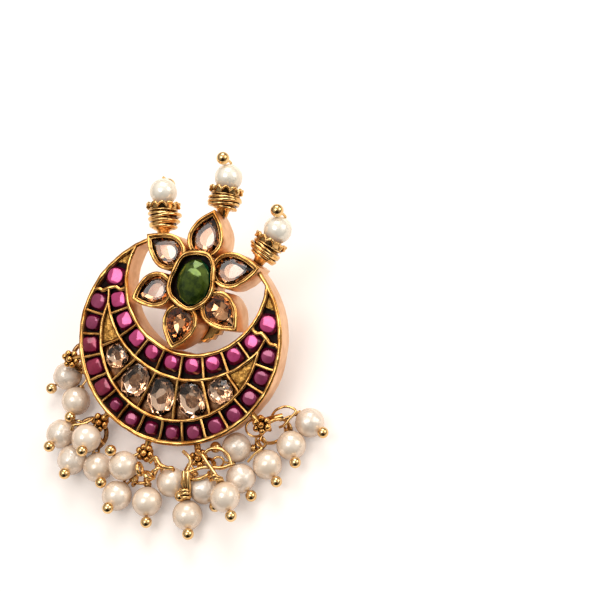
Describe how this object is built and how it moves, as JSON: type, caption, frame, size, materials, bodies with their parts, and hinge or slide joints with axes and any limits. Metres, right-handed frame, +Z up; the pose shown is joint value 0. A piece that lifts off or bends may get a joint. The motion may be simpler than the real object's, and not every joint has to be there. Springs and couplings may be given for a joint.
{
  "type": "stud earring",
  "caption": "Gold crescent stud earring with a stone-set petal flower, three pearl finials and pearl drops on jump rings, lying face up on its screw post.",
  "frame": {"origin": "on the surface the earring lies on, under the middle of its box", "axes": "+Z up from the surface; +Y from the pearl drops to the finials, along the earring's length as worn; +X to the right seen from its face"},
  "size_m": [0.0446, 0.054, 0.0194],
  "materials": {
    "gold": "polished antique gold plate",
    "green_stone": "polished cabochon",
    "champagne_stone": "polished facets",
    "pearl": "pearly lustre"
  },
  "bodies": {
    "earring": {"setting": "gold", "centre_stone": "green_stone", "petal_stone_top": "champagne_stone", "petal_stone_upper_right": "champagne_stone", "petal_stone_lower_right": "champagne_stone", "petal_stone_bottom": "champagne_stone", "petal_stone_lower_left": "champagne_stone", "petal_stone_upper_left": "champagne_stone", "round_stone_1": "champagne_stone", "oval_stone_2": "champagne_stone", "oval_stone_3": "champagne_stone", "oval_stone_4": "champagne_stone", "round_stone_5": "champagne_stone", "finial_cap_left": "gold", "finial_pearl_left": "pearl", "finial_cap_middle": "gold", "finial_pearl_middle": "pearl", "finial_cap_right": "gold", "finial_pearl_right": "pearl", "ring_and_pins_left": "gold", "drop_pearl_left_1": "pearl", "drop_pearl_left_2": "pearl", "drop_pearl_left_3": "pearl", "ring_and_pins_lower_left": "gold", "drop_pearl_lower_left_1": "pearl", "drop_pearl_lower_left_2": "pearl", "drop_pearl_lower_left_3": "pearl", "drop_pearl_lower_left_4": "pearl", "ring_and_pins_bottom": "gold", "drop_pearl_bottom_1": "pearl", "drop_pearl_bottom_2": "pearl", "drop_pearl_bottom_3": "pearl", "drop_pearl_bottom_4": "pearl", "ring_and_pins_lower_right": "gold", "drop_pearl_lower_right_1": "pearl", "drop_pearl_lower_right_2": "pearl", "drop_pearl_lower_right_3": "pearl", "drop_pearl_lower_right_4": "pearl", "ring_and_pins_right": "gold", "drop_pearl_right_1": "pearl", "drop_pearl_right_2": "pearl", "drop_pearl_right_3": "pearl", "drop_pearl_right_4": "pearl"},
    "nut": {"screw_nut": "gold"}
  },
  "joints": [
    {"name": "nut_on_post", "type": "slide", "parent": "earring", "child": "nut", "axis": [0, 0.3414, -0.9399], "range_m": [0, 0.003]}
  ]
}
